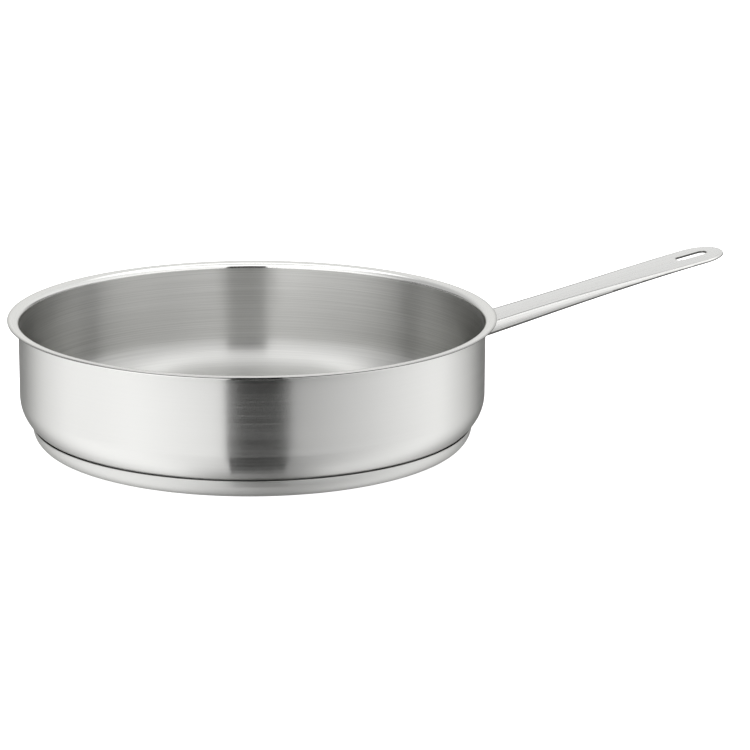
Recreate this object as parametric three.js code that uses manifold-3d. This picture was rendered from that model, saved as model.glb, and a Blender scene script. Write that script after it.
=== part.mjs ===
// A straight-sided sauté pan: a drawn steel body, a capsule base and a welded channel handle.
// Millimetres, +Z up, the handle along +X, the origin under the middle of the base.
import * as THREE from "three";
import { mergeVertices } from "three/addons/utils/BufferGeometryUtils.js";
import Module from "manifold-3d";

// Body
const BODY_RADIUS = 140; // outside of the straight wall
const RIM_HEIGHT = 76.4; // table to the top of the lip
const SHEET = 0.9;
const CORNER_RADIUS = 23; // outside, between wall and floor
const LIP_REACH = 6.7; // lip edge beyond the wall
const LIP_BEND = 2.6; // underside radius between wall and lip
const LIP_TILT = 4; // degrees the lip climbs outwards

// Base
const CAPSULE_SHEET = 0.6;
const CAPSULE_INSET = 7.4; // capsule side, in from the wall
const CAPSULE_CORNER = 11; // outside radius under the capsule
const CORE_HEIGHT = 6;
const CORE_CORNER = 4;
const BRAZE = 0.2;
const SEAM = 0.9; // open line between capsule and body

// Handle
const HANDLE_REACH = 182.6; // wall to tip
const HANDLE_DROP = 19.8; // rim down to the top of the handle at the wall
const HANDLE_RISE = 33; // from the wall to the tip
const HANDLE_CROWN = 0.6; // bow of the top line
const HANDLE_SHEET = 1.3;
const SHOULDER = 1.4; // pressed edge radius
const ROOT_HALF_WIDTH = 14.1;
const WAIST_HALF_WIDTH = 12.5;
const TIP_HALF_WIDTH = 17;
const END_LENGTH = 18; // length of the rounded end
const ROOT_DEPTH = 7.2; // height of the turned-down sides
const TIP_DEPTH = 1.6;
const SLOT_LENGTH = 21.5;
const SLOT_WIDTH = 7.6;
const SLOT_SETBACK = 21.2; // tip to the middle of the slot
const WELD_RADIUS = 2;
const WELD_GAP = 0.3; // clearance of cut faces

const TURN_STEPS = 80;
const CORNER_STEPS = 5;
const SIDE_STEPS = 20;
const END_STEPS = 8;

const wasm = await Module();
wasm.setup();

function solid(geometry) {
  const bare = geometry.clone();
  bare.deleteAttribute("normal");
  bare.deleteAttribute("uv");
  const merged = mergeVertices(bare, 1e-4);
  const triVerts = new Uint32Array(merged.index.array);
  const vertProperties = merged.attributes.position.array;
  return new wasm.Manifold(new wasm.Mesh({ numProp: 3, vertProperties, triVerts }));
}

function geometryOf(manifold) {
  const mesh = manifold.getMesh();
  const geometry = new THREE.BufferGeometry();
  geometry.setAttribute("position", new THREE.BufferAttribute(mesh.vertProperties, 3));
  geometry.setIndex(new THREE.BufferAttribute(mesh.triVerts, 1));
  return geometry;
}

// Points of an arc in the profile plane, angles in degrees from the outward direction.
function arc(x, y, radius, from, to) {
  const points = [];
  for (let i = 0; i <= CORNER_STEPS; i++) {
    const a = THREE.MathUtils.degToRad(from + ((to - from) * i) / CORNER_STEPS);
    points.push(new THREE.Vector2(x + radius * Math.cos(a), y + radius * Math.sin(a)));
  }
  return points;
}

function turned(profile) {
  return new THREE.LatheGeometry(profile, TURN_STEPS).rotateX(Math.PI / 2);
}

// Heights of the stacked base, from the table upwards
const coreFloor = CAPSULE_SHEET + BRAZE;
const coreTop = coreFloor + CORE_HEIGHT;
const bodyFloor = coreTop + BRAZE;

// Body profile: under the floor, up the wall, round the lip and back down inside
const floorRadius = BODY_RADIUS - CORNER_RADIUS;
const cornerY = bodyFloor + CORNER_RADIUS;
const lipTurn = 90 + LIP_TILT;
const lipTilt = THREE.MathUtils.degToRad(LIP_TILT);
const lipFlat = (LIP_REACH - LIP_BEND * (1 - Math.sin(lipTilt))) / Math.cos(lipTilt);
const lipRise = LIP_BEND * Math.cos(lipTilt) + (lipFlat + SHEET) * Math.sin(lipTilt);
const bendX = BODY_RADIUS + LIP_BEND;
const bendY = RIM_HEIGHT - lipRise - SHEET * Math.cos(lipTilt);
const along = new THREE.Vector2(Math.cos(lipTilt), Math.sin(lipTilt)).multiplyScalar(lipFlat);
const lipUnder = arc(bendX, bendY, LIP_BEND, 180, lipTurn);
const lipOver = arc(bendX, bendY, LIP_BEND + SHEET, lipTurn, 180);
const bodyProfile = [
  new THREE.Vector2(0, bodyFloor),
  ...arc(floorRadius, cornerY, CORNER_RADIUS, -90, 0),
  ...lipUnder,
  lipUnder.at(-1).clone().add(along),
  lipOver[0].clone().add(along),
  ...lipOver,
  ...arc(floorRadius, cornerY, CORNER_RADIUS - SHEET, 0, -90),
  new THREE.Vector2(0, bodyFloor + SHEET),
];

// Capsule profile: a shallow cup whose edge stops just short of the body's corner
const capsuleRadius = BODY_RADIUS - CAPSULE_INSET;
const capsuleFlat = capsuleRadius - CAPSULE_CORNER;
const capsuleInside = capsuleRadius - CAPSULE_SHEET;
const cornerDrop = Math.sqrt(CORNER_RADIUS ** 2 - (capsuleInside - floorRadius) ** 2);
const capsuleTop = cornerY - cornerDrop - SEAM;
const capsuleProfile = [
  new THREE.Vector2(0, 0),
  ...arc(capsuleFlat, CAPSULE_CORNER, CAPSULE_CORNER, -90, 0),
  new THREE.Vector2(capsuleRadius, capsuleTop),
  new THREE.Vector2(capsuleInside, capsuleTop),
  ...arc(capsuleFlat, CAPSULE_CORNER, CAPSULE_CORNER - CAPSULE_SHEET, 0, -90),
  new THREE.Vector2(0, CAPSULE_SHEET),
];

// Core and the two braze films, flat face on flat face
const coreRadius = capsuleFlat + CORE_CORNER;
const coreProfile = [
  new THREE.Vector2(0, coreFloor),
  ...arc(capsuleFlat, coreFloor + CORE_CORNER, CORE_CORNER, -90, 0),
  new THREE.Vector2(coreRadius, coreTop),
  new THREE.Vector2(0, coreTop),
];

function film(radius, floor) {
  return turned([
    new THREE.Vector2(0, floor),
    new THREE.Vector2(radius, floor),
    new THREE.Vector2(radius, floor + BRAZE),
    new THREE.Vector2(0, floor + BRAZE),
  ]);
}

// Handle lines, by distance out from the wall
const endStart = HANDLE_REACH - END_LENGTH;
const rootTop = RIM_HEIGHT - HANDLE_DROP;

function ease(t) {
  return (1 - Math.cos(Math.PI * THREE.MathUtils.clamp(t, 0, 1))) / 2;
}

function topLine(distance) {
  const u = distance / HANDLE_REACH;
  return rootTop + HANDLE_RISE * u + 4 * HANDLE_CROWN * u * (1 - u);
}

function sideDepth(distance) {
  return ROOT_DEPTH + (TIP_DEPTH - ROOT_DEPTH) * ease(distance / HANDLE_REACH);
}

function halfWidth(distance) {
  const u = distance / HANDLE_REACH;
  const root = (ROOT_HALF_WIDTH - WAIST_HALF_WIDTH) * Math.max(0, 1 - 3 * u) ** 2;
  return WAIST_HALF_WIDTH + root + (TIP_HALF_WIDTH - WAIST_HALF_WIDTH) * ease((u - 0.28) / 0.72);
}

// A point of the handle: a station along its outline, an inset from its edge and a drop below its top.
function outlinePoint(station, inset, drop) {
  const straight = Math.min(station, SIDE_STEPS) / SIDE_STEPS;
  const angle = (Math.max(0, station - SIDE_STEPS) / END_STEPS) * (Math.PI / 2);
  const rootStart = -ROOT_HALF_WIDTH;
  const side = rootStart + (endStart - rootStart) * straight;
  const distance = side + (END_LENGTH - inset) * Math.sin(angle);
  const y = station === SIDE_STEPS + END_STEPS ? 0 : (halfWidth(side) - inset) * Math.cos(angle);
  return new THREE.Vector3(BODY_RADIUS + distance, y, topLine(distance) - drop);
}

// Half sections along the outline, mirrored across the middle and closed into one skin.
function mirroredLoft(rows) {
  const positions = [];
  const mirror = (p) => new THREE.Vector3(p.x, -p.y, p.z);
  const triangle = (a, b, c) => {
    const area = new THREE.Triangle(a, b, c).getArea();
    if (area > 1e-6) positions.push(...a.toArray(), ...b.toArray(), ...c.toArray());
  };
  const both = (a, b, c) => {
    triangle(a, b, c);
    triangle(mirror(a), mirror(c), mirror(b));
  };
  for (let i = 0; i + 1 < rows.length; i++) {
    for (let j = 0; j + 1 < rows[i].length; j++) {
      both(rows[i][j], rows[i + 1][j], rows[i + 1][j + 1]);
      both(rows[i][j], rows[i + 1][j + 1], rows[i][j + 1]);
    }
  }
  const root = rows[0];
  for (let j = 1; j + 1 < root.length; j++) both(root[0], root[j], root[j + 1]);
  const skin = new THREE.BufferGeometry();
  skin.setAttribute("position", new THREE.Float32BufferAttribute(positions, 3));
  return skin;
}

const stations = Array.from({ length: SIDE_STEPS + END_STEPS + 1 }, (_, i) => i);

function onCentre(point) {
  return new THREE.Vector3(point.x, 0, point.z);
}

// The outside of the pressing, grown all round by a clearance.
function handleBlank(grow) {
  return mirroredLoft(
    stations.map((station) => {
      const edge = [0, 30, 60, 90].map((degrees) => {
        const a = THREE.MathUtils.degToRad(degrees);
        const inset = SHOULDER * (1 - Math.sin(a)) - grow;
        return outlinePoint(station, inset, SHOULDER * (1 - Math.cos(a)) - grow);
      });
      const depth = sideDepth(edge.at(-1).x - BODY_RADIUS);
      const foot = outlinePoint(station, -grow, depth + grow);
      return [onCentre(edge[0]), ...edge, foot, onCentre(foot)];
    }),
  );
}

// The hollow under the pressing, open downwards.
function handleHollow() {
  return mirroredLoft(
    stations.map((station) => {
      const roof = outlinePoint(station, HANDLE_SHEET, HANDLE_SHEET);
      const mouth = outlinePoint(station, HANDLE_SHEET, ROOT_DEPTH + HANDLE_SHEET);
      return [onCentre(roof), roof, mouth, onCentre(mouth)];
    }),
  );
}

function hangingSlot() {
  const half = (SLOT_LENGTH - SLOT_WIDTH) / 2;
  const shape = new THREE.Shape();
  shape.absarc(half, 0, SLOT_WIDTH / 2, -Math.PI / 2, Math.PI / 2);
  shape.absarc(-half, 0, SLOT_WIDTH / 2, Math.PI / 2, (3 * Math.PI) / 2);
  const middle = HANDLE_REACH - SLOT_SETBACK;
  const cutter = new THREE.ExtrudeGeometry(shape, {
    depth: 2 * ROOT_DEPTH,
    bevelEnabled: false,
    curveSegments: 10,
  });
  return cutter.translate(BODY_RADIUS + middle, 0, topLine(middle) - ROOT_DEPTH);
}

const wallCut = solid(
  new THREE.CylinderGeometry(
    BODY_RADIUS + WELD_GAP,
    BODY_RADIUS + WELD_GAP,
    4 * RIM_HEIGHT,
    TURN_STEPS,
  ).rotateX(Math.PI / 2),
);

const handleGeometry = geometryOf(
  solid(handleBlank(0)).subtract(solid(handleHollow())).subtract(solid(hangingSlot())).subtract(wallCut),
);

// Weld runs: round beads laid in the corner between handle and wall
const weldKeepOut = wallCut.add(solid(handleBlank(WELD_GAP)));

function weldRun(geometry) {
  return geometryOf(solid(geometry).subtract(weldKeepOut));
}

const topRunLength = 2 * (ROOT_HALF_WIDTH - SHOULDER - 2 * WELD_RADIUS);
const topRun = weldRun(
  new THREE.CapsuleGeometry(WELD_RADIUS, topRunLength, 5, 12).translate(BODY_RADIUS, 0, topLine(0)),
);

function sideRun(side) {
  const length = ROOT_DEPTH - SHOULDER - 2 * WELD_RADIUS;
  const middle = topLine(0) - (SHOULDER + ROOT_DEPTH) / 2;
  const reach = Math.sqrt(BODY_RADIUS ** 2 - ROOT_HALF_WIDTH ** 2);
  return weldRun(
    new THREE.CapsuleGeometry(WELD_RADIUS, length, 5, 12)
      .rotateX(Math.PI / 2)
      .translate(reach, side * ROOT_HALF_WIDTH, middle),
  );
}

const pan = new THREE.Group();
pan.name = "saute_pan";

function piece(name, geometry, color, roughness) {
  const material = new THREE.MeshStandardMaterial({ color, roughness, metalness: 1 });
  const mesh = new THREE.Mesh(geometry, material);
  mesh.name = name;
  pan.add(mesh);
}

const STEEL = 0xd4d5d6;
const ALUMINIUM = 0xb9bcc0;
const FILLER = 0x9a9c9e;
piece("pan_body", turned(bodyProfile), STEEL, 0.3);
piece("base_capsule", turned(capsuleProfile), STEEL, 0.3);
piece("lower_braze", film(capsuleFlat, CAPSULE_SHEET), FILLER, 0.6);
piece("core_disc", turned(coreProfile), ALUMINIUM, 0.5);
piece("upper_braze", film(floorRadius, coreTop), FILLER, 0.6);
piece("handle", handleGeometry, STEEL, 0.35);
piece("weld_top", topRun, STEEL, 0.45);
piece("weld_left", sideRun(1), STEEL, 0.45);
piece("weld_right", sideRun(-1), STEEL, 0.45);

export default pan;
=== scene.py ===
"""A straight-sided steel saute pan with a capsule base and a welded channel handle."""

import math

import bpy
from mathutils import Matrix


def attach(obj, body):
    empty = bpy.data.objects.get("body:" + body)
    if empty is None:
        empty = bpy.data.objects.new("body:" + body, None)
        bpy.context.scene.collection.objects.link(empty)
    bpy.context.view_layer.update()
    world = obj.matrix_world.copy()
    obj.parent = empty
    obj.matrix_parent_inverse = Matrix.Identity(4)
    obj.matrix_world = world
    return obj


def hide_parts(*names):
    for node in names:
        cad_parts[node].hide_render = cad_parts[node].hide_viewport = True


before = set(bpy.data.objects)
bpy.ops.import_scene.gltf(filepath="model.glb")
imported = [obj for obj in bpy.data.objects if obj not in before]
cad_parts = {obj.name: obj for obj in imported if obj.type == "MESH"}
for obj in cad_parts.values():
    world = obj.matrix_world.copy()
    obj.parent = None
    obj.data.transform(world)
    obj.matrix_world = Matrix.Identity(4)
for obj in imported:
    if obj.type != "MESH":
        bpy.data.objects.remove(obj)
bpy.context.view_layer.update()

# Pan body
# One disc of stainless steel sheet, deep drawn to a straight wall with a large
# corner radius and a flat pouring lip, then brushed round and round its axis.
MM = 0.001
BODY_RADIUS = 140 * MM
RIM_HEIGHT = 76.4 * MM
SHEET = 0.9 * MM
CORNER_RADIUS = 23 * MM
FLOOR_UNDERSIDE = 7 * MM
LIP_REACH = 6.7 * MM
LIP_BEND = 2.6 * MM
LIP_TILT = math.radians(4)
FLOOR_RINGS = (0.1, 0.5, 0.985)
CORNER_STEPS = 20
FINE_STEPS = 8
ROUND_SEGMENTS = 288
SMOOTH_ANGLE = math.radians(35)


def arc_rings(centre_radius, centre_height, radius, start, end, steps):
    """Rings (radius, height) along an arc, in degrees from straight outwards."""
    angles = [math.radians(start + (end - start) * i / steps) for i in range(steps + 1)]
    return [
        (centre_radius + radius * math.cos(a), centre_height + radius * math.sin(a))
        for a in angles
    ]


def turned_piece(name, rings):
    """A circle drawn out ring by ring into a closed round piece."""
    bpy.ops.object.select_all(action="DESELECT")
    radius, height = rings[0]
    bpy.ops.mesh.primitive_circle_add(
        vertices=ROUND_SEGMENTS, radius=radius, location=(0, 0, height)
    )
    piece = bpy.context.object
    piece.name = name
    bpy.ops.object.transform_apply(location=True)
    bpy.ops.object.mode_set(mode="EDIT")
    bpy.ops.mesh.select_all(action="SELECT")
    for next_radius, next_height in rings[1:]:
        bpy.ops.mesh.extrude_region_move(
            TRANSFORM_OT_translate={"value": (0, 0, next_height - height)}
        )
        growth = next_radius / radius
        bpy.ops.transform.resize(value=(growth, growth, 1), center_override=(0, 0, next_height))
        radius, height = next_radius, next_height
    bpy.ops.mesh.edge_face_add()
    bpy.ops.mesh.select_all(action="DESELECT")
    bpy.ops.mesh.select_mode(type="EDGE")
    bpy.ops.mesh.select_non_manifold()
    bpy.ops.mesh.edge_face_add()
    bpy.ops.mesh.select_all(action="SELECT")
    bpy.ops.mesh.normals_make_consistent(inside=False)
    bpy.ops.object.mode_set(mode="OBJECT")
    bpy.ops.object.shade_smooth_by_angle(angle=SMOOTH_ANGLE)
    return piece


def linear(colour):
    """An sRGB hex colour as linear red, green, blue and alpha."""
    parts = [int(colour[i : i + 2], 16) / 255 for i in (1, 3, 5)]
    return tuple(c / 12.92 if c <= 0.04045 else ((c + 0.055) / 1.055) ** 2.4 for c in parts) + (1,)


def add_node(material, kind, settings, inputs):
    """One shader node with its settings, its values and its links."""
    made = material.node_tree.nodes.new(kind)
    for name, value in settings.items():
        setattr(made, name, value)
    for name, value in inputs.items():
        if isinstance(value, bpy.types.NodeSocket):
            material.node_tree.links.new(value, made.inputs[name])
        else:
            made.inputs[name].default_value = value
    return made


lip_turn = 90 + math.degrees(LIP_TILT)
lip_flat = (LIP_REACH - LIP_BEND * (1 - math.sin(LIP_TILT))) / math.cos(LIP_TILT) - SHEET / 2
lip_rise = LIP_BEND * math.cos(LIP_TILT) + (lip_flat + SHEET) * math.sin(LIP_TILT)
bend_radius = BODY_RADIUS + LIP_BEND
bend_height = RIM_HEIGHT - lip_rise - SHEET * math.cos(LIP_TILT)
corner_centre = (BODY_RADIUS - CORNER_RADIUS, FLOOR_UNDERSIDE + CORNER_RADIUS)
lip_middle = LIP_BEND + SHEET / 2
lip_angle = math.radians(lip_turn)
edge_radius = bend_radius + lip_middle * math.cos(lip_angle) + lip_flat * math.cos(LIP_TILT)
edge_height = bend_height + lip_middle * math.sin(lip_angle) + lip_flat * math.sin(LIP_TILT)
body_rings = (
    [(corner_centre[0] * share, FLOOR_UNDERSIDE) for share in FLOOR_RINGS]
    + arc_rings(*corner_centre, CORNER_RADIUS, -90, 0, CORNER_STEPS)
    + arc_rings(bend_radius, bend_height, LIP_BEND, 180, lip_turn, FINE_STEPS)
    + arc_rings(edge_radius, edge_height, SHEET / 2, lip_turn - 180, lip_turn, FINE_STEPS)
    + arc_rings(bend_radius, bend_height, LIP_BEND + SHEET, lip_turn, 180, FINE_STEPS)
    + arc_rings(*corner_centre, CORNER_RADIUS - SHEET, 0, -90, CORNER_STEPS)
    + [(corner_centre[0] * share, FLOOR_UNDERSIDE + SHEET) for share in reversed(FLOOR_RINGS)]
)
pan_body = turned_piece("drawn_body", body_rings)

# The lip was trimmed with a shear, which leaves its edge duller. The lower half of the
# edge, which faces down, is marked for painted shade, as the shade under the lip.
EDGE_MARGIN = 0.1 * MM
EDGE_FACES_DOWN = 0.1
lip_edge_shade = pan_body.data.attributes.new("cut_edge_shade", "FLOAT", "FACE")
for face in pan_body.data.polygons:
    on_edge = math.hypot(face.center.x, face.center.y) > edge_radius + EDGE_MARGIN
    lip_edge_shade.data[face.index].value = on_edge and face.normal.z < EDGE_FACES_DOWN
# Painted shade: the inward-facing wall is marked so it can be painted darker than the outside.
inner_wall_shade = pan_body.data.attributes.new("inner_wall_shade", "FLOAT", "POINT")
for corner in pan_body.data.vertices:
    inner_wall_shade.data[corner.index].value = max(0, -corner.co.xy.normalized().dot(corner.normal.xy))

# Brushed stainless steel, ground with a fine belt while the pan turned: bright
# and soft, with hairlines round the axis that pull reflections up and down.
# Real hairlines are about 0.1 mm apart; they are drawn near 0.6 mm to show. The
# inside is painted darker than the outside as painted shade, with more contrast
# between its lines. The lip is polished smoother, and towards its trimmed edge it
# is painted darker as shade along its edge.
HAIRLINE = 0.6 * MM
HAIRLINE_LENGTH = 120 * MM
HAIRLINE_DEPTH = 0.05 * MM
LIP_POLISH_START = bend_height + 0.2 * MM
LIP_POLISH_FULL = bend_height + 0.9 * MM
EDGE_SHADE_START = edge_radius - 1.2 * MM
EDGE_SHADE_FULL = edge_radius + 0.3 * MM
brushed_steel = bpy.data.materials.new("brushed_stainless_steel")
brushed_steel.use_nodes = True
brushed_steel.node_tree.nodes.clear()
place = add_node(brushed_steel, "ShaderNodeTexCoord", {}, {})
flat_place = add_node(
    brushed_steel,
    "ShaderNodeVectorMath",
    {"operation": "MULTIPLY"},
    {0: place.outputs["Object"], 1: (1, 1, 0)},
)
axis_distance = add_node(
    brushed_steel, "ShaderNodeVectorMath", {"operation": "LENGTH"}, {0: flat_place.outputs[0]}
)
upright = add_node(brushed_steel, "ShaderNodeSeparateXYZ", {}, {0: place.outputs["Object"]})
across_lines = add_node(
    brushed_steel,
    "ShaderNodeMath",
    {"operation": "ADD"},
    {0: axis_distance.outputs["Value"], 1: upright.outputs["Z"]},
)
line_place = add_node(
    brushed_steel,
    "ShaderNodeCombineXYZ",
    {},
    {"X": upright.outputs["X"], "Y": upright.outputs["Y"], "Z": across_lines.outputs[0]},
)
line_scale = add_node(
    brushed_steel,
    "ShaderNodeMapping",
    {},
    {
        "Vector": line_place.outputs[0],
        "Scale": (1 / HAIRLINE_LENGTH, 1 / HAIRLINE_LENGTH, 1 / HAIRLINE),
    },
)
hairlines = add_node(
    brushed_steel,
    "ShaderNodeTexNoise",
    {},
    {"Vector": line_scale.outputs[0], "Scale": 1, "Detail": 1, "Roughness": 0.5},
)
steel_colour = add_node(
    brushed_steel,
    "ShaderNodeMix",
    {"name": "steel colour", "data_type": "RGBA"},
    {"Factor": hairlines.outputs["Fac"], "A": linear("#d8d8d6"), "B": linear("#dbdbd9")},
)
cut_shade_mask = add_node(brushed_steel, "ShaderNodeAttribute", {"attribute_name": "cut_edge_shade"}, {})
inner_shade_mask = add_node(brushed_steel, "ShaderNodeAttribute", {"attribute_name": "inner_wall_shade"}, {})
# Painted shade: the lip darkens towards its trimmed edge, and its lower edge is darkest.
edge_shade_share = add_node(
    brushed_steel,
    "ShaderNodeMapRange",
    {},
    {
        "Value": axis_distance.outputs["Value"],
        "From Min": EDGE_SHADE_START,
        "From Max": EDGE_SHADE_FULL,
        "To Max": 0.42,
    },
)
edge_shade_mask = add_node(
    brushed_steel,
    "ShaderNodeMath",
    {"operation": "MAXIMUM"},
    {0: cut_shade_mask.outputs["Fac"], 1: edge_shade_share.outputs[0]},
)
# Painted shade: the inside steel colour is darker than the outside.
shaded_inner_colour = add_node(
    brushed_steel,
    "ShaderNodeMix",
    {"data_type": "RGBA"},
    {"Factor": hairlines.outputs["Fac"], "A": linear("#b6b6b4"), "B": linear("#d9d9d7")},
)
steel_with_inner_shade = add_node(
    brushed_steel,
    "ShaderNodeMix",
    {"data_type": "RGBA"},
    {
        "Factor": inner_shade_mask.outputs["Fac"],
        "A": steel_colour.outputs["Result"],
        "B": shaded_inner_colour.outputs["Result"],
    },
)
lip_share = add_node(
    brushed_steel,
    "ShaderNodeMapRange",
    {},
    {
        "Value": upright.outputs["Z"],
        "From Min": LIP_POLISH_START,
        "From Max": LIP_POLISH_FULL,
    },
)
lip_colour = add_node(
    brushed_steel,
    "ShaderNodeMix",
    {"data_type": "RGBA"},
    {
        "Factor": lip_share.outputs[0],
        "A": steel_with_inner_shade.outputs["Result"],
        "B": linear("#e9e9e7"),
    },
)
# Painted shade along the lip's edge, mixed towards dark grey.
colour_with_edge_shade = add_node(
    brushed_steel,
    "ShaderNodeMix",
    {"data_type": "RGBA"},
    {
        "Factor": edge_shade_mask.outputs[0],
        "A": lip_colour.outputs["Result"],
        "B": linear("#3a3938"),
    },
)
line_roughness = add_node(
    brushed_steel,
    "ShaderNodeMapRange",
    {"name": "line roughness"},
    {
        "Value": hairlines.outputs["Fac"],
        "From Min": 0.3,
        "From Max": 0.7,
        "To Min": 0.28,
        "To Max": 0.3,
    },
)
steel_roughness = add_node(
    brushed_steel,
    "ShaderNodeMix",
    {},
    {"Factor": lip_share.outputs[0], "A": line_roughness.outputs[0], "B": 0.12},
)
# Some hairlines scatter a little light, so a dark reflection is never quite black.
line_scatter = add_node(
    brushed_steel,
    "ShaderNodeMapRange",
    {},
    {
        "Value": hairlines.outputs["Fac"],
        "From Min": 0.45,
        "From Max": 0.7,
        "To Min": 1.0,
        "To Max": 0.945,
    },
)
steel_bump = add_node(
    brushed_steel,
    "ShaderNodeBump",
    {},
    {"Height": hairlines.outputs["Fac"], "Strength": 0.015, "Distance": HAIRLINE_DEPTH},
)
around_axis = add_node(
    brushed_steel, "ShaderNodeTangent", {"direction_type": "RADIAL", "axis": "Z"}, {}
)
steel_shader = add_node(
    brushed_steel,
    "ShaderNodeBsdfPrincipled",
    {"name": "steel shader"},
    {
        "Base Color": colour_with_edge_shade.outputs["Result"],
        "Metallic": line_scatter.outputs[0],
        "Roughness": steel_roughness.outputs["Result"],
        "Specular Tint": linear("#e8e8e6"),
        "Anisotropic": 1,
        "Anisotropic Rotation": 0.25,  # a quarter turn, across the hairlines
        "Normal": steel_bump.outputs[0],
        "Tangent": around_axis.outputs[0],
    },
)
add_node(
    brushed_steel, "ShaderNodeOutputMaterial", {}, {"Surface": steel_shader.outputs["BSDF"]}
)
pan_body.data.materials.append(brushed_steel)
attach(pan_body, "root")
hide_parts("pan_body")

# Core and braze films
# A rolled aluminium disc under the floor, bonded above and below by thin films
# of filler metal. Only its edge can be glimpsed through the seam of the base.
ROLL_LINE = 1.5 * MM
ROLL_LENGTH = 83 * MM

# Rolled aluminium, left as it came from the mill: a dull grey with faint lines that
# run the way it was rolled. They are drawn coarser than the real ones to show.
rolled_aluminium = bpy.data.materials.new("rolled_aluminium")
rolled_aluminium.use_nodes = True
rolled_aluminium.node_tree.nodes.clear()
place = add_node(rolled_aluminium, "ShaderNodeTexCoord", {}, {})
roll_scale = add_node(
    rolled_aluminium,
    "ShaderNodeMapping",
    {},
    {
        "Vector": place.outputs["Object"],
        "Scale": (1 / ROLL_LENGTH, 1 / ROLL_LINE, 1 / ROLL_LINE),
    },
)
roll_lines = add_node(
    rolled_aluminium,
    "ShaderNodeTexNoise",
    {},
    {"Vector": roll_scale.outputs[0], "Scale": 1, "Detail": 2},
)
aluminium_colour = add_node(
    rolled_aluminium,
    "ShaderNodeMix",
    {"data_type": "RGBA"},
    {"Factor": roll_lines.outputs["Fac"], "A": linear("#6f7173"), "B": linear("#85878a")},
)
aluminium_shader = add_node(
    rolled_aluminium,
    "ShaderNodeBsdfPrincipled",
    {},
    {"Base Color": aluminium_colour.outputs["Result"], "Metallic": 1, "Roughness": 0.55},
)
add_node(
    rolled_aluminium, "ShaderNodeOutputMaterial", {}, {"Surface": aluminium_shader.outputs["BSDF"]}
)
for hidden_layer in ("core_disc", "lower_braze", "upper_braze"):
    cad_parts[hidden_layer].data.materials.clear()
    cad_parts[hidden_layer].data.materials.append(rolled_aluminium)

# Base capsule
# A shallow cup of thin stainless sheet pressed over the core. Its large rounded
# edge rises outside the core and stops just short of the body, at the seam.
CAPSULE_SHEET = 0.6 * MM
CAPSULE_INSET = 7.4 * MM
CAPSULE_CORNER = 11 * MM
CAPSULE_RINGS = (0.1, 0.55)
CAPSULE_STEPS = 14
SEAM = 0.9 * MM
CAPSULE_RADIUS = BODY_RADIUS - CAPSULE_INSET
capsule_flat = CAPSULE_RADIUS - CAPSULE_CORNER
seam_side = CAPSULE_RADIUS - CAPSULE_SHEET - corner_centre[0]
capsule_top = corner_centre[1] - math.sqrt(CORNER_RADIUS**2 - seam_side**2) - SEAM
half_sheet = CAPSULE_SHEET / 2
capsule_edge = (CAPSULE_RADIUS - half_sheet, capsule_top - half_sheet)
inner_corner = CAPSULE_CORNER - CAPSULE_SHEET
capsule_rings = (
    [(capsule_flat * share, 0) for share in CAPSULE_RINGS]
    + arc_rings(capsule_flat, CAPSULE_CORNER, CAPSULE_CORNER, -90, 0, CAPSULE_STEPS)
    + arc_rings(*capsule_edge, half_sheet, 0, 180, FINE_STEPS)
    + arc_rings(capsule_flat, CAPSULE_CORNER, inner_corner, 0, -90, CAPSULE_STEPS)
    + [(capsule_flat * share, CAPSULE_SHEET) for share in reversed(CAPSULE_RINGS)]
)
base_capsule = turned_piece("capsule_cup", capsule_rings)

# The same steel, left from the press with only a light satin: the reflections
# on the base are softer and flatter than those on the wall.
satin_base = brushed_steel.copy()
satin_base.name = "satin_base_steel"
satin_nodes = satin_base.node_tree.nodes
satin_nodes["steel colour"].inputs["A"].default_value = linear("#cdcdcb")
satin_nodes["steel colour"].inputs["B"].default_value = linear("#d1d1cf")
satin_nodes["line roughness"].inputs["To Min"].default_value = 0.42
satin_nodes["line roughness"].inputs["To Max"].default_value = 0.5
satin_nodes["steel shader"].inputs["Anisotropic"].default_value = 0.5
base_capsule.data.materials.append(satin_base)
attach(base_capsule, "root")
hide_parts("base_capsule")

# Handle
# A stainless pressing: a channel open below, deep at the wall and almost flat
# at its round tip, with rounded shoulders and a slot punched for hanging.
HANDLE_REACH = 182.6 * MM
HANDLE_TOP_AT_WALL = RIM_HEIGHT - 19.8 * MM
HANDLE_RISE = 33 * MM
HANDLE_CROWN = 0.6 * MM
HANDLE_SHEET = 1.3 * MM
SHOULDER = 1.4 * MM
ROOT_HALF_WIDTH = 14.1 * MM
WAIST_HALF_WIDTH = 12.5 * MM
TIP_HALF_WIDTH = 17 * MM
ROOT_SPREADS_OVER = 1 / 3
TIP_SPREADS_FROM = 0.28
END_LENGTH = 18 * MM
ROOT_DEPTH = 7.2 * MM
TIP_DEPTH = 1.6 * MM
SIDE_FLARE = 0.12
TOP_CAMBER = 0.35 * MM
LINE_WIDTH = 1.3 * MM
LINE_DEPTH = 0.14 * MM
RIM_SHARE = 0.8
HOLLOW_ROUNDING = 0.2 * MM
WALL_GAP = 0.3 * MM
MERGE = 0.005 * MM
SIDE_STATIONS = 64
END_STATIONS = 24
FLAT_CELLS = 10
LINE_CELLS = 8
SHOULDER_CELLS = 8
SIDE_CELLS = 6
RIM_CELLS = 8
INNER_CELLS = 4


def ease(t):
    """A smooth rise from 0 to 1, level at both ends."""
    return (1 - math.cos(math.pi * min(max(t, 0), 1))) / 2


def handle_top(distance):
    """Height of the handle's top at this distance from the wall."""
    u = distance / HANDLE_REACH
    return HANDLE_TOP_AT_WALL + HANDLE_RISE * u + 4 * HANDLE_CROWN * u * (1 - u)


def handle_depth(distance):
    """Height of the handle's sides at this distance from the wall."""
    return ROOT_DEPTH + (TIP_DEPTH - ROOT_DEPTH) * ease(distance / HANDLE_REACH)


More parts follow.
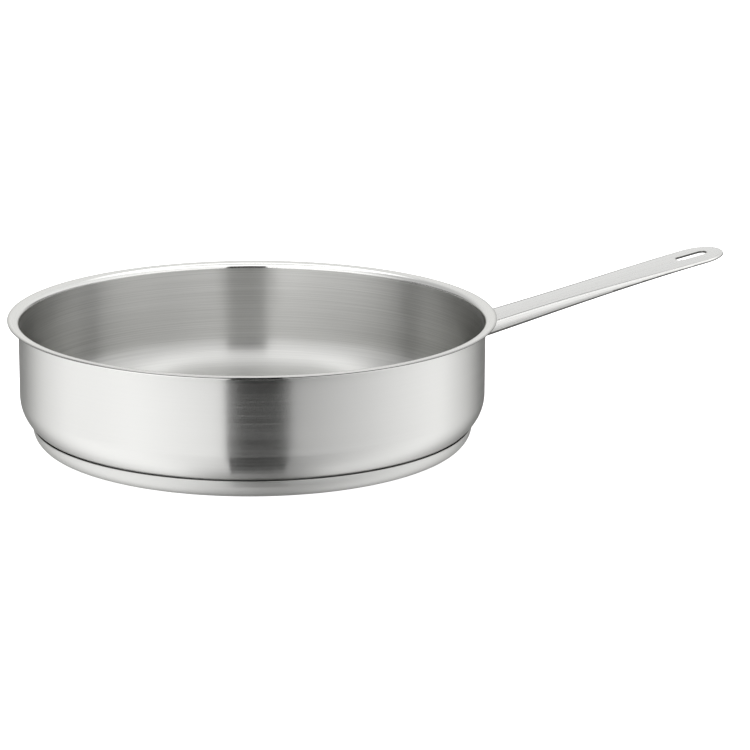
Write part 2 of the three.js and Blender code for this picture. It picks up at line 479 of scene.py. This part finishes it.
def handle_half_width(distance):
    """Half the width of the handle at this distance from the wall."""
    u = distance / HANDLE_REACH
    root = (ROOT_HALF_WIDTH - WAIST_HALF_WIDTH) * max(0, 1 - u / ROOT_SPREADS_OVER) ** 2
    tip_share = ease((u - TIP_SPREADS_FROM) / (1 - TIP_SPREADS_FROM))
    return WAIST_HALF_WIDTH + root + (TIP_HALF_WIDTH - WAIST_HALF_WIDTH) * tip_share


def half_section(depth):
    """Half the channel, from top to rim to hollow.

    Each point is its share across the flat, its inset from the outline and its drop.
    """
    lean = math.atan(2 * SIDE_FLARE)
    points = [(cell / FLAT_CELLS, SHOULDER + LINE_WIDTH, 0) for cell in range(FLAT_CELLS)]
    for cell in range(LINE_CELLS):
        across = cell / LINE_CELLS
        dip = LINE_DEPTH * (1 - math.cos(2 * math.pi * across)) / 2
        points.append((1, SHOULDER + LINE_WIDTH * (1 - across), dip))
    for cell in range(SHOULDER_CELLS + 1):
        bend = (math.pi / 2 - lean) * cell / SHOULDER_CELLS
        points.append((1, SHOULDER * (1 - math.sin(bend)), SHOULDER * (1 - math.cos(bend))))
    side_inset, side_drop = points[-1][1:]
    rim = min(HANDLE_SHEET / 2, RIM_SHARE * (depth - SHOULDER))
    height = depth - rim - side_drop
    for cell in range(1, SIDE_CELLS + 1):
        down = cell / SIDE_CELLS
        flare = SIDE_FLARE * height * down * (2 - down)
        points.append((1, side_inset - flare, side_drop + down * height))
    rim_inset = points[-1][1] + HANDLE_SHEET / 2
    for cell in range(1, RIM_CELLS + 1):
        bend = math.pi * cell / RIM_CELLS
        points.append(
            (1, rim_inset - HANDLE_SHEET / 2 * math.cos(bend), depth - rim + rim * math.sin(bend))
        )
    inner_inset = rim_inset + HANDLE_SHEET / 2
    hollow_inset = HANDLE_SHEET + HOLLOW_ROUNDING
    for cell in range(1, INNER_CELLS + 1):
        up = cell / INNER_CELLS
        inset = inner_inset + (hollow_inset - inner_inset) * up
        points.append((1, inset, depth - rim + (HANDLE_SHEET - depth + rim) * up))
    for cell in range(1, INNER_CELLS + 1):
        points.append((1 - cell / INNER_CELLS, hollow_inset, HANDLE_SHEET))
    return points


def pressed_point(station, cell):
    """Where the die puts one corner of the blank, along the outline and round the section."""
    end_start = HANDLE_REACH - END_LENGTH
    side = end_start * min(station / SIDE_STATIONS, 1)
    angle = max(0, (station - SIDE_STATIONS) / END_STATIONS) * math.pi / 2
    share, inset, drop = half_section(handle_depth(side + END_LENGTH * math.sin(angle)))[cell]
    distance = side + (END_LENGTH - inset) * math.sin(angle)
    y = max(0, (handle_half_width(side) - inset) * math.cos(angle)) * share
    hug = (math.sqrt(BODY_RADIUS**2 - y**2) - BODY_RADIUS + WALL_GAP) * (1 - side / end_start) ** 2
    camber = TOP_CAMBER * (1 - share**2) * math.cos(angle)
    return BODY_RADIUS + distance + hug, y, handle_top(distance) - drop + camber


station_count = SIDE_STATIONS + END_STATIONS
cell_count = len(half_section(ROOT_DEPTH)) - 1
bpy.ops.object.select_all(action="DESELECT")
bpy.ops.mesh.primitive_grid_add(x_subdivisions=station_count, y_subdivisions=cell_count, size=2)
handle = bpy.context.object
handle.name = "pressed_handle"
for corner in handle.data.vertices:
    station = round((corner.co.x + 1) / 2 * station_count)
    cell = round((corner.co.y + 1) / 2 * cell_count)
    corner.co = pressed_point(station, cell)
other_half = handle.modifiers.new("other_half", "MIRROR")
other_half.use_axis = (False, True, False)
other_half.merge_threshold = MERGE
bpy.ops.object.modifier_apply(modifier=other_half.name)
bpy.ops.object.mode_set(mode="EDIT")
bpy.ops.mesh.select_mode(type="EDGE")
bpy.ops.mesh.select_all(action="SELECT")
bpy.ops.mesh.remove_doubles(threshold=MERGE)
bpy.ops.mesh.select_all(action="DESELECT")
bpy.ops.mesh.select_non_manifold()
bpy.ops.mesh.edge_face_add()
bpy.ops.mesh.select_all(action="SELECT")
bpy.ops.mesh.normals_make_consistent(inside=False)
bpy.ops.object.mode_set(mode="OBJECT")

# Hanging slot
# Punched straight through the sheet near the tip, with two half-round ends. The
# handle's edges are then deburred all round.
SLOT_LENGTH = 21.5 * MM
SLOT_WIDTH = 7.6 * MM
SLOT_SETBACK = 21.2 * MM
SLOT_SEGMENTS = 64
PUNCH_LENGTH = 20 * MM
DEBURRED = 0.15 * MM
SHARP_ANGLE = math.radians(50)
slot_middle = HANDLE_REACH - SLOT_SETBACK
slot_straight = (SLOT_LENGTH - SLOT_WIDTH) / 2
bpy.ops.object.select_all(action="DESELECT")
bpy.ops.mesh.primitive_cylinder_add(
    vertices=SLOT_SEGMENTS,
    radius=SLOT_WIDTH / 2,
    depth=PUNCH_LENGTH,
    location=(BODY_RADIUS + slot_middle, 0, handle_top(slot_middle)),
    rotation=(0, 0, math.pi / SLOT_SEGMENTS),
)
punch = bpy.context.object
bpy.ops.object.transform_apply(location=True, rotation=True)
bpy.ops.object.mode_set(mode="EDIT")
bpy.ops.mesh.select_mode(type="VERT")
for side in (1, -1):
    bpy.ops.mesh.select_all(action="DESELECT")
    bpy.ops.object.mode_set(mode="OBJECT")
    for corner in punch.data.vertices:
        corner.select = (corner.co.x - BODY_RADIUS - slot_middle) * side > 0
    bpy.ops.object.mode_set(mode="EDIT")
    bpy.ops.transform.translate(value=(side * slot_straight, 0, 0))
bpy.ops.object.mode_set(mode="OBJECT")
bpy.ops.object.select_all(action="DESELECT")
handle.select_set(True)
bpy.context.view_layer.objects.active = handle
slot_cut = handle.modifiers.new("slot_cut", "BOOLEAN")
slot_cut.operation = "DIFFERENCE"
slot_cut.solver = "EXACT"
slot_cut.object = punch
bpy.ops.object.modifier_apply(modifier=slot_cut.name)
bpy.data.objects.remove(punch)
deburred = handle.modifiers.new("deburred_edges", "BEVEL")
deburred.width = DEBURRED
deburred.segments = 2
deburred.limit_method = "ANGLE"
deburred.angle_limit = SHARP_ANGLE
bpy.ops.object.modifier_apply(modifier=deburred.name)
bpy.ops.object.shade_smooth_by_angle(angle=SMOOTH_ANGLE)


def edge_inset(distance, y):
    """How far a point of the top lies inside the handle's outline."""
    beyond = max(0, distance - HANDLE_REACH + END_LENGTH)
    half_width = handle_half_width(distance - beyond)
    if not beyond:
        return half_width - abs(y)
    return END_LENGTH * (1 - math.hypot(beyond / END_LENGTH, y / half_width))


# The sheared edges below and in the slot are duller, and they are painted dark as
# shade in the slot and under the sides. The pressed line along each top edge is
# painted with a little shade that fades out towards the tip.
SHADED_RIM_HEIGHT = 1.25 * MM
SHADED_SLOT_MARGIN = 0.1 * MM
RIM_MARGIN = 0.3 * MM
LINE_SHADE = 0.9
FACES_UP = 0.5
cut_edge_shade = handle.data.attributes.new("cut_edge_shade", "FLOAT", "FACE")
for face in handle.data.polygons:
    middle = face.center
    distance = middle.x - BODY_RADIUS
    beyond_end = max(0, abs(distance - slot_middle) - slot_straight)
    in_slot = math.hypot(beyond_end, middle.y) < SLOT_WIDTH / 2 + SHADED_SLOT_MARGIN
    depth = handle_depth(distance)
    shade_below = handle_top(distance) - depth + min(SHADED_RIM_HEIGHT, depth / 2)
    inset = edge_inset(distance, middle.y)
    on_rim = middle.z < shade_below and inset < HANDLE_SHEET + RIM_MARGIN
    cut_edge_shade.data[face.index].value = 1.0 if in_slot or on_rim else 0.0
    off_line = inset - SHOULDER - LINE_WIDTH / 2
    if face.normal.z > FACES_UP and abs(off_line) < LINE_WIDTH / 3:
        cut_edge_shade.data[face.index].value = LINE_SHADE * (1 - (distance / HANDLE_REACH) ** 3)

# Satin stainless steel, belt ground along the handle: a soft even sheen with
# faint hairlines that run from the wall to the tip.
satin_steel = bpy.data.materials.new("satin_stainless_steel")
satin_steel.use_nodes = True
satin_steel.node_tree.nodes.clear()
place = add_node(satin_steel, "ShaderNodeTexCoord", {}, {})
along_handle = add_node(
    satin_steel,
    "ShaderNodeVectorRotate",
    {"rotation_type": "Y_AXIS"},
    {"Vector": place.outputs["Object"], "Angle": math.atan(HANDLE_RISE / HANDLE_REACH)},
)
satin_scale = add_node(
    satin_steel,
    "ShaderNodeMapping",
    {},
    {
        "Vector": along_handle.outputs[0],
        "Scale": (1 / HAIRLINE_LENGTH, 1 / HAIRLINE, 1 / HAIRLINE),
    },
)
satin_lines = add_node(
    satin_steel,
    "ShaderNodeTexNoise",
    {},
    {"Vector": satin_scale.outputs[0], "Scale": 1, "Detail": 3, "Roughness": 0.6},
)
satin_colour = add_node(
    satin_steel,
    "ShaderNodeMix",
    {"data_type": "RGBA"},
    {"Factor": satin_lines.outputs["Fac"], "A": linear("#d2d2d0"), "B": linear("#e0e0de")},
)
cut_shade_mask = add_node(satin_steel, "ShaderNodeAttribute", {"attribute_name": "cut_edge_shade"}, {})
# Painted shade: the marked lower edges, slot walls and pressed line are mixed towards dark grey.
edge_shade_colour = add_node(
    satin_steel,
    "ShaderNodeMix",
    {"data_type": "RGBA"},
    {
        "Factor": cut_shade_mask.outputs["Fac"],
        "A": satin_colour.outputs["Result"],
        "B": linear("#6a6967"),
    },
)
satin_roughness = add_node(
    satin_steel,
    "ShaderNodeMapRange",
    {},
    {"Value": satin_lines.outputs["Fac"], "To Min": 0.24, "To Max": 0.32},
)
satin_bump = add_node(
    satin_steel,
    "ShaderNodeBump",
    {},
    {"Height": satin_lines.outputs["Fac"], "Strength": 0.06, "Distance": HAIRLINE_DEPTH},
)
satin_shader = add_node(
    satin_steel,
    "ShaderNodeBsdfPrincipled",
    {},
    {
        "Base Color": edge_shade_colour.outputs["Result"],
        "Metallic": 1,
        "Roughness": satin_roughness.outputs[0],
        "Normal": satin_bump.outputs[0],
    },
)
add_node(satin_steel, "ShaderNodeOutputMaterial", {}, {"Surface": satin_shader.outputs["BSDF"]})
handle.data.materials.append(satin_steel)
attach(handle, "root")
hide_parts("handle")

# Weld runs
# Three short fillet runs fix the handle's end to the wall, one on top and one
# down each side. Each is a bead of small overlapping ripples, cleaned by brush.
WELD_RADIUS = 2 * MM
RIPPLE = 1.1 * MM
RIPPLE_SWELL = 0.06
WELD_GRAIN = 0.8 * MM
WELD_MERGE = 0.01 * MM
WELD_SMOOTH_ANGLE = math.radians(40)
BEAD_SEGMENTS = 24
BEAD_RINGS = 48

# Stainless weld metal, brushed clean: warmer and duller than the sheet, with a fine
# uneven grain.
weld_steel = bpy.data.materials.new("cleaned_weld_steel")
weld_steel.use_nodes = True
weld_steel.node_tree.nodes.clear()
place = add_node(weld_steel, "ShaderNodeTexCoord", {}, {})
weld_grain = add_node(
    weld_steel,
    "ShaderNodeTexNoise",
    {},
    {"Vector": place.outputs["Object"], "Scale": 1 / WELD_GRAIN, "Detail": 2},
)
weld_colour = add_node(
    weld_steel,
    "ShaderNodeMix",
    {"data_type": "RGBA"},
    {"Factor": weld_grain.outputs["Fac"], "A": linear("#a9a6a1"), "B": linear("#c9c7c3")},
)
weld_roughness = add_node(
    weld_steel,
    "ShaderNodeMapRange",
    {},
    {"Value": weld_grain.outputs["Fac"], "To Min": 0.35, "To Max": 0.5},
)
weld_shader = add_node(
    weld_steel,
    "ShaderNodeBsdfPrincipled",
    {},
    {
        "Base Color": weld_colour.outputs["Result"],
        "Metallic": 1,
        "Roughness": weld_roughness.outputs[0],
    },
)
add_node(weld_steel, "ShaderNodeOutputMaterial", {}, {"Surface": weld_shader.outputs["BSDF"]})


def weld_bead(name, node, length, middle, turn, keep_off):
    """A rippled bead, laid along its run and kept off the wall and the handle."""
    bpy.ops.object.select_all(action="DESELECT")
    bpy.ops.mesh.primitive_uv_sphere_add(
        segments=BEAD_SEGMENTS, ring_count=BEAD_RINGS, radius=1
    )
    bead = bpy.context.object
    bead.name = name
    half = length / 2 + WELD_RADIUS
    for corner in bead.data.vertices:
        along = math.asin(max(-1, min(1, corner.co.z))) / (math.pi / 2)
        into_end = max(0, (abs(along) * half - length / 2) / WELD_RADIUS)
        round_end = math.sqrt(max(0, 1 - into_end**2))
        ripple = 1 + RIPPLE_SWELL * math.cos(2 * math.pi * along * half / RIPPLE)
        spread = math.hypot(corner.co.x, corner.co.y) or 1
        swell = WELD_RADIUS * round_end * ripple
        corner.co = (corner.co.x / spread * swell, corner.co.y / spread * swell, along * half)
    bead.matrix_world = Matrix.Translation(middle) @ Matrix.Rotation(turn, 4, "X")
    bpy.ops.object.transform_apply(location=True, rotation=True)
    for corner in bead.data.vertices:
        corner.co.x = max(corner.co.x, math.sqrt(BODY_RADIUS**2 - corner.co.y**2))
        corner.co = keep_off(corner.co)
    bpy.ops.object.mode_set(mode="EDIT")
    bpy.ops.mesh.select_all(action="SELECT")
    bpy.ops.mesh.remove_doubles(threshold=WELD_MERGE)
    bpy.ops.mesh.normals_make_consistent(inside=False)
    bpy.ops.object.mode_set(mode="OBJECT")
    bpy.ops.object.shade_smooth_by_angle(angle=WELD_SMOOTH_ANGLE)
    bead.data.materials.append(weld_steel)
    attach(bead, "root")
    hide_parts(node)


def above_handle(point):
    """The point, lifted on to the handle's top."""
    point.z = max(point.z, handle_top(point.x - BODY_RADIUS))
    return point


weld_bead(
    "weld_bead_top",
    "weld_top",
    2 * (ROOT_HALF_WIDTH - SHOULDER - 2 * WELD_RADIUS),
    (BODY_RADIUS, 0, HANDLE_TOP_AT_WALL),
    math.pi / 2,
    above_handle,
)
for side, bead_name, weld_node in (
    (1, "weld_bead_left", "weld_left"),
    (-1, "weld_bead_right", "weld_right"),
):

    def beside_handle(point, side=side):
        """The point, moved out of the handle's side."""
        point.y = side * max(side * point.y, handle_half_width(max(0, point.x - BODY_RADIUS)))
        return point

    weld_bead(
        bead_name,
        weld_node,
        ROOT_DEPTH - SHOULDER - 2 * WELD_RADIUS,
        (
            math.sqrt(BODY_RADIUS**2 - ROOT_HALF_WIDTH**2),
            side * ROOT_HALF_WIDTH,
            HANDLE_TOP_AT_WALL - (SHOULDER + ROOT_DEPTH) / 2,
        ),
        0,
        beside_handle,
    )

# Studio
# A plain pale floor in a soft white tent, with a lamp overhead that is greyer in
# its middle. Three dark cards in front, which only reflections see, give the dark
# strip on the wall.
VIEW_TURN = math.radians(22)  # how far the handle points behind the picture plane
TENT_STRENGTH = 1.33
bpy.context.scene.view_settings.view_transform = "Standard"
studio = bpy.data.worlds.new("white_tent")
studio.use_nodes = True
studio.node_tree.nodes.clear()
place = add_node(studio, "ShaderNodeTexCoord", {}, {})
from_camera = add_node(
    studio,
    "ShaderNodeMapping",
    {"vector_type": "VECTOR"},
    {"Vector": place.outputs["Generated"], "Rotation": (0, 0, VIEW_TURN + math.pi / 2)},
)
heading = add_node(studio, "ShaderNodeSeparateXYZ", {}, {0: from_camera.outputs[0]})
bearing = add_node(
    studio,
    "ShaderNodeMath",
    {"operation": "ARCTAN2"},
    {0: heading.outputs["Y"], 1: heading.outputs["X"]},
)
turn_share = add_node(
    studio,
    "ShaderNodeMapRange",
    {},
    {"Value": bearing.outputs[0], "From Min": -math.pi, "From Max": math.pi},
)

# The tent's brightness by degrees round the pan, where 0 is towards the camera: below
# the horizon, just above it and well above it.
LOW_LEVELS = {
    -180: 0.10, -150: 0.27, -125: 0.83, -100: 1.06, -60: 0.93, -12: 0.55,
    18: 0.18, 60: 0.54, 105: 0.98, 130: 0.63, 152: 0.18, 180: 0.10,
}
MIDDLE_LEVELS = {
    -180: 0.70, -162: 0.64, -145: 0.42, -126: 0.05, -90: 0.05, -60: 1.05, -18: 1.70,
    18: 1.15, 70: 0.90, 100: 0.20, 138: 0.05, 158: 0.62, 180: 0.70,
}
UPPER_LEVELS = {
    -180: 0.70, -162: 0.66, -145: 0.48, -126: 0.42, -90: 0.45, -60: 0.85, -18: 0.95,
    18: 0.85, 70: 0.80, 100: 0.76, 138: 0.72, 158: 0.71, 180: 0.70,
}
tent_ramps = []
for levels in (LOW_LEVELS, MIDDLE_LEVELS, UPPER_LEVELS):
    ramp = add_node(studio, "ShaderNodeValToRGB", {}, {"Fac": turn_share.outputs[0]})
    stops = ramp.color_ramp.elements
    stops.remove(stops[1])
    for index, (angle, level) in enumerate(sorted(levels.items())):
        stop = stops[0] if index == 0 else stops.new(0.5 + angle / 360)
        stop.position = 0.5 + angle / 360
        stop.color = (level, level, level, 1)
    tent_ramps.append(ramp)
above_floor = add_node(
    studio,
    "ShaderNodeMapRange",
    {"interpolation_type": "SMOOTHSTEP"},
    {"Value": heading.outputs["Z"], "From Min": -0.02, "From Max": 0.08},
)
round_tent = add_node(
    studio,
    "ShaderNodeMix",
    {"data_type": "RGBA"},
    {
        "Factor": above_floor.outputs[0],
        "A": tent_ramps[0].outputs["Color"],
        "B": tent_ramps[1].outputs["Color"],
    },
)
well_above = add_node(
    studio,
    "ShaderNodeMapRange",
    {"interpolation_type": "SMOOTHSTEP"},
    {"Value": heading.outputs["Z"], "From Min": 0.08, "From Max": 0.34},
)
lifted_tent = add_node(
    studio,
    "ShaderNodeMix",
    {"data_type": "RGBA"},
    {
        "Factor": well_above.outputs[0],
        "A": round_tent.outputs["Result"],
        "B": tent_ramps[2].outputs["Color"],
    },
)
high_up = add_node(
    studio,
    "ShaderNodeMapRange",
    {"interpolation_type": "SMOOTHSTEP"},
    {
        "Value": heading.outputs["Z"],
        "From Min": 0.2,
        "From Max": 0.65,
        "To Min": 1.08,
        "To Max": 0.95,
    },
)
dimmed_tent = add_node(
    studio,
    "ShaderNodeVectorMath",
    {"operation": "SCALE"},
    {0: lifted_tent.outputs["Result"], "Scale": high_up.outputs[0]},
)
overhead = add_node(
    studio,
    "ShaderNodeMapRange",
    {"interpolation_type": "SMOOTHSTEP"},
    {"Value": heading.outputs["Z"], "From Min": 0.68, "From Max": 0.88},
)
sideways = add_node(studio, "ShaderNodeMath", {"operation": "ABSOLUTE"}, {0: heading.outputs["Y"]})
lamp_width = add_node(
    studio,
    "ShaderNodeMapRange",
    {"interpolation_type": "SMOOTHSTEP"},
    {"Value": sideways.outputs[0], "From Min": 0.42, "From Max": 0.74, "To Min": 1, "To Max": 0},
)
lamp = add_node(
    studio,
    "ShaderNodeMath",
    {"operation": "MULTIPLY"},
    {0: overhead.outputs[0], 1: lamp_width.outputs[0]},
)
zenith = add_node(
    studio,
    "ShaderNodeMapRange",
    {"interpolation_type": "SMOOTHSTEP"},
    {
        "Value": heading.outputs["Z"],
        "From Min": 0.88,
        "From Max": 0.96,
        "To Min": 1.55,
        "To Max": 0.7,
    },
)
with_overhead = add_node(
    studio,
    "ShaderNodeMix",
    {"data_type": "RGBA"},
    {"Factor": lamp.outputs[0], "A": dimmed_tent.outputs[0], "B": zenith.outputs[0]},
)
below = add_node(
    studio,
    "ShaderNodeMapRange",
    {"interpolation_type": "SMOOTHSTEP"},
    {"Value": heading.outputs["Z"], "From Min": -0.995, "From Max": -0.93},
)
with_below = add_node(
    studio,
    "ShaderNodeMix",
    {"data_type": "RGBA"},
    {"Factor": below.outputs[0], "A": (0.2, 0.2, 0.2, 1), "B": with_overhead.outputs["Result"]},
)
tent_light = add_node(
    studio,
    "ShaderNodeBackground",
    {},
    {"Color": with_below.outputs["Result"], "Strength": TENT_STRENGTH},
)
add_node(studio, "ShaderNodeOutputWorld", {}, {"Surface": tent_light.outputs[0]})
bpy.context.scene.world = studio

# Matt white paper, lit until it is as white as the photo's background. It isn't seen
# in reflections, where the lower part of the tent takes its place.
FLOOR_SIZE = 8
bpy.ops.object.select_all(action="DESELECT")
bpy.ops.mesh.primitive_plane_add(size=FLOOR_SIZE)
floor = bpy.context.object
floor.name = "studio_floor"
floor.visible_glossy = False
pale_floor = bpy.data.materials.new("pale_floor")
pale_floor.use_nodes = True
floor_shader = pale_floor.node_tree.nodes["Principled BSDF"]
floor_shader.inputs["Base Color"].default_value = linear("#f6f6f6")
floor_shader.inputs["Roughness"].default_value = 0.9
floor_shader.inputs["Emission Color"].default_value = (1, 1, 1, 1)
floor_shader.inputs["Emission Strength"].default_value = 0.8
floor.data.materials.append(pale_floor)

# Matt black card. One lies on the floor, one stands at its far end, and a narrower
# one stands above that. Places are in metres from the pan's axis, facing the camera.
CARD_DISTANCE = 2
CARD_LIFT = 0.001
FLOOR_CARD_START = 0.143
FLOOR_CARD_LEFT = -0.015
FLOOR_CARD_RIGHT = 0.021
LOW_CARD_LEFT = -0.48
LOW_CARD_RIGHT = 0.67
LOW_CARD_TOP = 0.35
HIGH_CARD_LEFT = -0.27
HIGH_CARD_RIGHT = 0.5
HIGH_CARD_TOP = 1.95
card_black = bpy.data.materials.new("card_black")
card_black.use_nodes = True
card_shader = card_black.node_tree.nodes["Principled BSDF"]
card_shader.inputs["Base Color"].default_value = linear("#0c0c0c")
card_shader.inputs["Roughness"].default_value = 0.9


def reflected_card(name, corners):
    """A card seen only in reflections, turned to face the camera."""
    bpy.ops.object.select_all(action="DESELECT")
    bpy.ops.mesh.primitive_plane_add(size=1)
    card = bpy.context.object
    card.name = name
    near_left, near_right, far_right, far_left = corners
    card_places = (near_left, near_right, far_left, far_right)
    for corner, card_place in zip(card.data.vertices, card_places):
        corner.co = card_place
    card.data.transform(Matrix.Rotation(-VIEW_TURN, 4, "Z"))
    card.data.materials.append(card_black)
    card.visible_camera = False
    card.visible_diffuse = False
    card.visible_shadow = False


reflected_card(
    "card_on_floor",
    (
        (FLOOR_CARD_LEFT, -FLOOR_CARD_START, CARD_LIFT),
        (FLOOR_CARD_RIGHT, -FLOOR_CARD_START, CARD_LIFT),
        (LOW_CARD_RIGHT, -CARD_DISTANCE, CARD_LIFT),
        (LOW_CARD_LEFT, -CARD_DISTANCE, CARD_LIFT),
    ),
)
for card_name, left, right, bottom, top in (
    ("card_in_front", LOW_CARD_LEFT, LOW_CARD_RIGHT, 0, LOW_CARD_TOP),
    ("card_above", HIGH_CARD_LEFT, HIGH_CARD_RIGHT, LOW_CARD_TOP, HIGH_CARD_TOP),
):
    reflected_card(
        card_name,
        (
            (left, -CARD_DISTANCE, bottom),
            (right, -CARD_DISTANCE, bottom),
            (right, -CARD_DISTANCE, top),
            (left, -CARD_DISTANCE, top),
        ),
    )

# Camera
# A long lens at the photo's viewpoint, about fifteen degrees above the pan. Its
# place and turns were fitted to the rim, the seam and the base in the photo.
FRAME_PIXELS = 750
FOCAL_PIXELS = 3156.5
SENSOR_WIDTH = 36
CAMERA_DISTANCE = 1842.47 * MM
CAMERA_HEIGHT = 528.98 * MM
CAMERA_PAN = math.radians(-2.2928)
CAMERA_DOWN = math.radians(14.8968)
CAMERA_ROLL = math.radians(0.3427)
camera_data = bpy.data.cameras.new("photo_camera")
camera = bpy.data.objects.new("photo_camera", camera_data)
bpy.context.scene.collection.objects.link(camera)
camera_data.sensor_width = SENSOR_WIDTH
camera_data.lens = FOCAL_PIXELS / FRAME_PIXELS * SENSOR_WIDTH
camera_data.clip_end = 50
camera.matrix_world = (
    Matrix.Rotation(-VIEW_TURN, 4, "Z")
    @ Matrix.Translation((0, -CAMERA_DISTANCE, CAMERA_HEIGHT))
    @ Matrix.Rotation(CAMERA_PAN, 4, "Z")
    @ Matrix.Rotation(math.pi / 2 - CAMERA_DOWN, 4, "X")
    @ Matrix.Rotation(CAMERA_ROLL, 4, "Z")
)
bpy.context.scene.camera = camera
